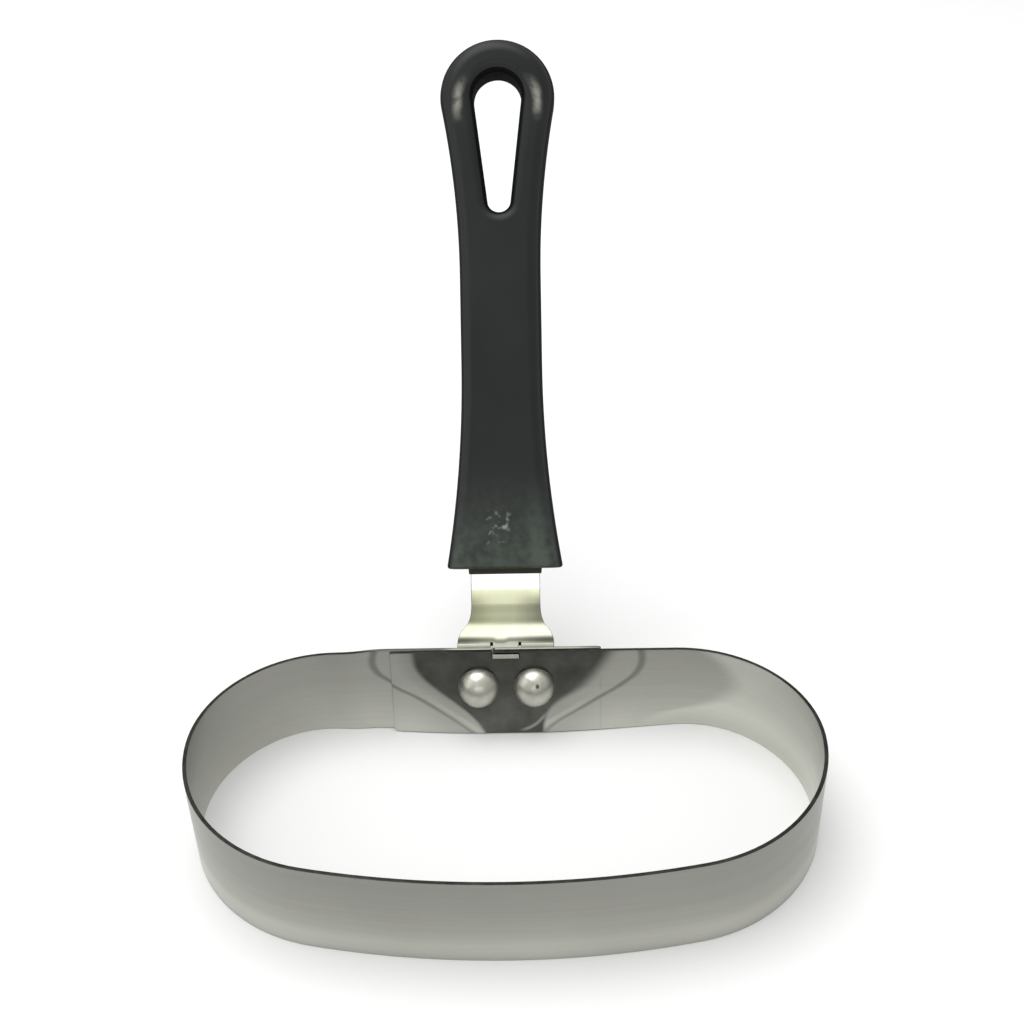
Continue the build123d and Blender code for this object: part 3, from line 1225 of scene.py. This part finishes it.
@dataclass
class HandleGrip:
    """The moulded handle with its flared end, waist, loop, hanging hole and collar."""

    seat: HandleSeat = HandleSeat()
    length: float = 127.5 * MM
    thickness: float = 10.8 * MM
    end_half: float = 14.1 * MM
    end_flare: float = 280 * MM
    waist_half: float = 9.8 * MM
    loop_radius: float = 13.8 * MM
    loop_flare: float = 220 * MM
    edge_radius: float = 3.6 * MM
    end_edge: float = 0.8 * MM
    hole_top: float = 5.8 * MM
    hole_bottom: float = 2.8 * MM
    hole_spacing: float = 25 * MM
    hole_edge: float = 2.8 * MM
    hole_back_edge: float = 1.6 * MM
    hole_margin: float = 1.4 * MM
    hole_rim: float = 1 * MM
    hole_start: float = 60 * MM
    hole_end: float = 6.5 * MM
    collar_half: tuple[float, float, float] = (9.1 * MM, 1.4 * MM, 2.2 * MM)
    collar_corner: float = 1 * MM
    collar_inset: float = 1 * MM
    collar_taper: float = 0.967
    collar_rim: float = 0.12 * MM
    mouth_half: tuple[float, float] = (8.55 * MM, 0.7 * MM)
    mouth_depth: float = 1.2 * MM

    def build(self, material: Material, hole: Material) -> Piece:
        """Models the handle lying flat, then leans it onto its seat.

        Args:
            material: The handle's material.
            hole: Material of the wall of the hanging hole.

        Returns:
            The finished piece.
        """
        bm = self._half_outline()
        bmesh.ops.edgeloop_fill(bm, edges=bm.edges)
        raised = only_verts(bmesh.ops.extrude_face_region(bm, geom=bm.faces[:])["geom"])
        bmesh.ops.translate(bm, verts=raised, vec=UP * self.thickness)
        inner = [f for f in bm.faces if all(abs(v.co.x) < 1e-7 for v in f.verts)]
        bmesh.ops.delete(bm, geom=inner, context="FACES_ONLY")
        bmesh.ops.mirror(bm, geom=bm.verts[:] + bm.edges[:] + bm.faces[:], axis="X", merge_dist=1e-6)
        close_up(bm)
        self._round(bm)
        for face in bm.faces:
            face.material_index = int(self._is_hole_wall(face))
        self._add_collar(bm)
        mark_sharp(bm)
        bmesh.ops.transform(bm, matrix=self.seat.matrix, verts=bm.verts)
        piece = make_piece(bm, "grip_moulding", "handle_grip", material)
        piece.data.materials.append(hole)
        flatten_shading(piece)
        return piece

    def _half_outline(self) -> Mesh:
        """Draws the right half of the outline, down one side of the hole, as one closed wire.

        Returns:
            The wire.
        """
        end_long = math.sqrt(self.end_flare**2 - (self.end_flare + self.waist_half - self.end_half) ** 2)
        end_turn = math.degrees(math.asin(end_long / self.end_flare))
        reach = self.loop_flare + self.loop_radius
        loop_long = math.sqrt(reach**2 - (self.loop_flare + self.waist_half) ** 2)
        loop_turn = math.degrees(math.asin(loop_long / reach))
        loop_centre = self.length - self.loop_radius
        narrowing = self.hole_top - self.hole_bottom
        slope = math.degrees(math.asin(narrowing / self.hole_spacing))
        low = Vector((0, 0, -self.thickness / 2))
        pen = Pen([low], low, ALONG_X, UP)
        pen.straight(self.end_half)
        pen.heading = Matrix.Rotation(math.radians(end_turn), 3, "Z") @ ALONG_Y
        pen.bend(self.end_flare, -end_turn, 14)
        pen.straight(loop_centre - loop_long - end_long)
        pen.bend(self.loop_flare, -loop_turn, 14)
        pen.bend(self.loop_radius, 90 + loop_turn, 30)
        pen.line_to(Vector((0, loop_centre + self.hole_top, low.z)))
        pen.heading = ALONG_X.copy()
        pen.bend(self.hole_top, -90 - slope, 18)
        pen.straight(math.sqrt(self.hole_spacing**2 - narrowing**2))
        pen.bend(self.hole_bottom, slope - 90, 10)
        pen.line_to(low)
        bmesh.ops.remove_doubles(pen.bm, verts=pen.bm.verts, dist=0.001 * MM)
        return pen.bm

    def _round(self, bm: Mesh) -> None:
        """Rounds the long edges, both rims of the hole and the edge of the flared end.

        Args:
            bm: The whole handle, with sharp edges.
        """
        bm.normal_update()
        outer, front_rim, back_rim = [], [], []
        hole_side = self.hole_top + 0.05 * MM
        for edge in bm.edges:
            steep = sorted(abs(face.normal.z) for face in edge.link_faces)
            middle = (edge.verts[0].co + edge.verts[1].co) / 2
            if len(steep) != 2 or steep[0] > 0.01 or steep[1] < 0.99 or middle.y < 1e-6:
                continue
            if abs(middle.x) > hole_side or middle.y > self.length - self.loop_radius + hole_side:
                outer.append(edge)
            else:
                (front_rim if middle.z > 0 else back_rim).append(edge)
        bevel(bm, outer, self.edge_radius, 7)
        bevel(bm, front_rim, self.hole_edge, 6)
        bevel(bm, back_rim, self.hole_back_edge, 4)
        bm.normal_update()
        end = [
            edge
            for edge in bm.edges
            if all(v.co.y < 1e-6 for v in edge.verts)
            and any(face.normal.y > -0.99 for face in edge.link_faces)
        ]
        bevel(bm, end, self.end_edge, 3)

    def _is_hole_wall(self, face: bmesh.types.BMFace) -> bool:
        """Tells whether a face is a steep one inside the hanging hole, below its front rim.

        Args:
            face: A face of the handle.

        Returns:
            Whether it has the hole's material.
        """
        middle = face.calc_center_median()
        inside = abs(middle.x) < self.hole_top + self.hole_margin
        below = middle.z < self.thickness / 2 - self.hole_rim
        loop = self.hole_start < middle.y < self.length - self.hole_end
        return inside and below and loop and abs(face.normal.z) < 0.8

    def _add_collar(self, bm: Mesh) -> None:
        """Adds the low collar round the neck, with the mouth that the stem goes into.

        Args:
            bm: The handle, whose flared end lies at Y 0.
        """
        made = bmesh.ops.create_cube(bm, size=2)["verts"]
        bmesh.ops.scale(bm, verts=made, vec=self.collar_half)
        edges = {edge for vert in made for edge in vert.link_edges}
        upright = [e for e in edges if abs(e.verts[0].co.y - e.verts[1].co.y) > 1e-6]
        bevel(bm, upright, self.collar_corner, 4)
        bm.normal_update()
        front = min(bm.faces, key=lambda face: face.calc_center_median().y)
        bmesh.ops.scale(bm, verts=front.verts[:], vec=(self.collar_taper, 1, self.collar_taper))
        for width in (self.collar_rim, self.collar_inset):
            bmesh.ops.inset_individual(bm, faces=[front], thickness=width, depth=0)
        mouth = front.verts[:]
        for vert in mouth:
            vert.co.x = math.copysign(self.mouth_half[0], vert.co.x)
            vert.co.z = math.copysign(self.mouth_half[1], vert.co.z)
        bmesh.ops.remove_doubles(bm, verts=mouth, dist=0.01 * MM)
        middle = -ALONG_Y * self.collar_half[1]
        front = min(bm.faces, key=lambda face: (face.calc_center_median() - middle).length)
        sunk = bmesh.ops.extrude_discrete_faces(bm, faces=[front])["faces"]
        bmesh.ops.translate(bm, verts=sunk[0].verts[:], vec=ALONG_Y * self.mouth_depth)


@dataclass
class Rivet:
    """One rivet: a domed head inside the ring and a flat formed tail on the foot."""

    side: Side
    spacing: float = 13.3 * MM
    height: float = 13 * MM
    head_radius: float = 4.95 * MM
    head_height: float = 4.7 * MM
    shank: float = 2.4 * MM
    tail_radius: float = 3.9 * MM
    tail_height: float = 1.5 * MM
    tail_edge: float = 0.5 * MM
    tail_bulge: float = 0.15 * MM
    head_seat: float = -0.45 * MM
    tail_seat: float = 2.7 * MM
    steps: int = 56

    def build(self, dish: Dish, material: Material) -> Piece:
        """Draws half the rivet's outline and turns it about the rivet's axis.

        Args:
            dish: How the wall that it holds is pressed inwards.
            material: The rivet's material.

        Returns:
            The finished piece.
        """
        ball = (self.head_radius**2 + self.head_height**2) / (2 * self.head_height)
        apex = Vector((0, self.head_seat - self.head_height, 0))
        pen = Pen([apex], apex, ALONG_X, UP)
        pen.bend(ball, math.degrees(math.asin(self.head_radius / ball)), 18)
        tip = self.tail_seat + self.tail_height
        for x, y in (
            (self.shank, self.head_seat),
            (self.shank, self.tail_seat),
            (self.tail_radius, self.tail_seat),
            (self.tail_radius, tip - self.tail_edge),
            (self.tail_radius - self.tail_bulge, tip - self.tail_bulge),
            (self.tail_radius - self.tail_edge, tip),
            (0, tip),
        ):
            pen.line_to(Vector((x, y, 0)))
        bm = pen.bm
        bmesh.ops.spin(
            bm, geom=bm.verts[:] + bm.edges[:], cent=(0, 0, 0), axis=(0, 1, 0), dvec=(0, 0, 0),
            angle=math.tau, steps=self.steps, use_merge=True, use_normal_flip=False,
            use_duplicate=False,
        )
        close_up(bm)
        mark_sharp(bm)
        place = Vector((self.side.value * self.spacing / 2, 0, self.height))
        bmesh.ops.translate(bm, verts=bm.verts, vec=place)
        dish.press(bm)
        label = self.side.name.lower()
        piece = make_piece(bm, f"rivet_{label}_dome", f"rivet_{label}", material)
        flatten_shading(piece)
        return piece


@dataclass(frozen=True)
class SoftBox:
    """One soft studio light."""

    name: str
    place: tuple[float, float, float]
    target: tuple[float, float, float]
    size: tuple[float, float]
    power: float

    def build(self) -> None:
        """Adds the light to the scene."""
        lamp = bpy.data.lights.new(self.name, "AREA")
        lamp.shape = "RECTANGLE"
        lamp.size, lamp.size_y = self.size
        lamp.energy = self.power
        holder = bpy.data.objects.new(self.name, lamp)
        holder.location = self.place
        way = Vector(self.target) - Vector(self.place)
        holder.rotation_euler = way.to_track_quat("-Z", "Y").to_euler()
        bpy.context.scene.collection.objects.link(holder)


@dataclass
class Studio:
    """The floor, the soft light and the camera."""

    world_grey: float = 0.7
    boxes: tuple[SoftBox, ...] = (
        SoftBox("overhead", (-0.25, 0.15, 1.3), (0, -0.05, 0), (1.2, 1.2), 11.5),
        SoftBox("left", (-1.1, -0.35, 0.55), (0, -0.03, 0.03), (0.7, 0.8), 1.5),
        SoftBox("low_front", (0, -0.82, 0.4), (0, 0.02, 0.03), (0.6, 0.18), 0.6),
    )
    floor_greys: tuple[Colour, Colour] = ((0.9, 0.9, 0.9, 1), (0.93, 0.93, 0.92, 1))
    focal_length: float = 49.22
    camera_place: tuple[float, float, float] = (0.00774, -0.25256, 0.2377)
    camera_right: tuple[float, float, float] = (0.99972, 0.00484, -0.02324)
    camera_up: tuple[float, float, float] = (0.01635, 0.56952, 0.82182)

    def build(self) -> None:
        """Adds everything that isn't part of the ring."""
        scene = bpy.context.scene
        scene.view_settings.view_transform = "Standard"
        world = bpy.data.worlds.new("studio")
        scene.world = world
        world.use_nodes = True
        sky = world.node_tree.nodes["Background"]
        sky.inputs["Color"].default_value = (*(self.world_grey,) * 3, 1)
        for box in self.boxes:
            box.build()
        self._floor()
        self._camera()

    def _floor(self) -> None:
        """Adds the plain pale floor."""
        bm = bmesh.new()
        bmesh.ops.create_grid(bm, x_segments=1, y_segments=1, size=4)
        mesh = bpy.data.meshes.new("floor")
        bm.to_mesh(mesh)
        bm.free()
        floor = bpy.data.objects.new("floor", mesh)
        bpy.context.scene.collection.objects.link(floor)
        material = bpy.data.materials.new("pale_floor")
        material.use_nodes = True
        graph = Graph(material.node_tree)
        shader = material.node_tree.nodes["Principled BSDF"]
        noise = graph.give("TexNoise", {"Scale": 3.0, "Detail": 2.0}, "Fac")
        graph.feed(shader.inputs["Base Color"], graph.blend(noise, *self.floor_greys))
        shader.inputs["Roughness"].default_value = 0.9
        shader.inputs["Specular IOR Level"].default_value = 0.1
        mesh.materials.append(material)

    def _camera(self) -> None:
        """Adds the camera where the photograph was taken from."""
        lens = bpy.data.cameras.new("camera")
        lens.sensor_width = 36
        lens.lens = self.focal_length
        lens.clip_start = 0.01
        camera = bpy.data.objects.new("camera", lens)
        right, up = Vector(self.camera_right), Vector(self.camera_up)
        turn = Matrix((right, up, right.cross(up))).transposed().to_4x4()
        camera.matrix_world = Matrix.Translation(self.camera_place) @ turn
        bpy.context.scene.collection.objects.link(camera)
        bpy.context.scene.camera = camera


def write_sizes() -> None:
    """Brings the view layer up to date."""
    bpy.context.view_layer.update()


def main() -> None:
    """Builds the studio, then every piece in order."""
    logging.basicConfig(level=logging.INFO, format="%(name)s: %(message)s")
    Studio().build()
    effects = SharedEffects.build()
    inner = InnerBandSteel("band_inner_steel", (0.85, 0.855, 0.775, 1), 1.0, 0.34)
    outer = BandSteel("band_outer_steel", (0.85, 0.855, 0.775, 1), 1.0, 0.36)
    edge = CutEdge("band_cut_edge", (0.022, 0.023, 0.02, 1), 1.0, 0.5)
    bracket = BracketSteel("bracket_bright_steel", (0.95, 0.96, 0.8, 1), 1.0, 0.3)
    rivet = RivetSteel("rivet_satin_steel", (0.47, 0.47, 0.41, 1), 0.9, 0.37)
    plastic = MouldedPlastic("handle_charcoal_plastic", (0.0055, 0.0068, 0.0066, 1), 0.0, 0.38, 0.32)
    # The hole's wall is a darker, less glossy copy of the plastic: painted shade inside the hanging hole.
    shaded_hole = MouldedPlastic("handle_hole_plastic", (0.004, 0.005, 0.0048, 1), 0.0, 0.7, 0.08)
    finishes = (inner, outer, edge, bracket, rivet, plastic, shaded_hole)
    inside, outside, cut, bright, satin, charcoal, dull = (f.material(effects) for f in finishes)
    dish = Dish()
    pieces = [
        RingBand().build(dish, inside, outside, cut),
        HandleBracket().build(dish, bright, cut),
        HandleGrip().build(charcoal, dull),
        *(Rivet(side).build(dish, satin) for side in Side),
    ]
    for piece in pieces:
        log.info("%s has %d faces before its modifiers", piece.name, len(piece.data.polygons))
    write_sizes()


if __name__ == "__main__":
    main()
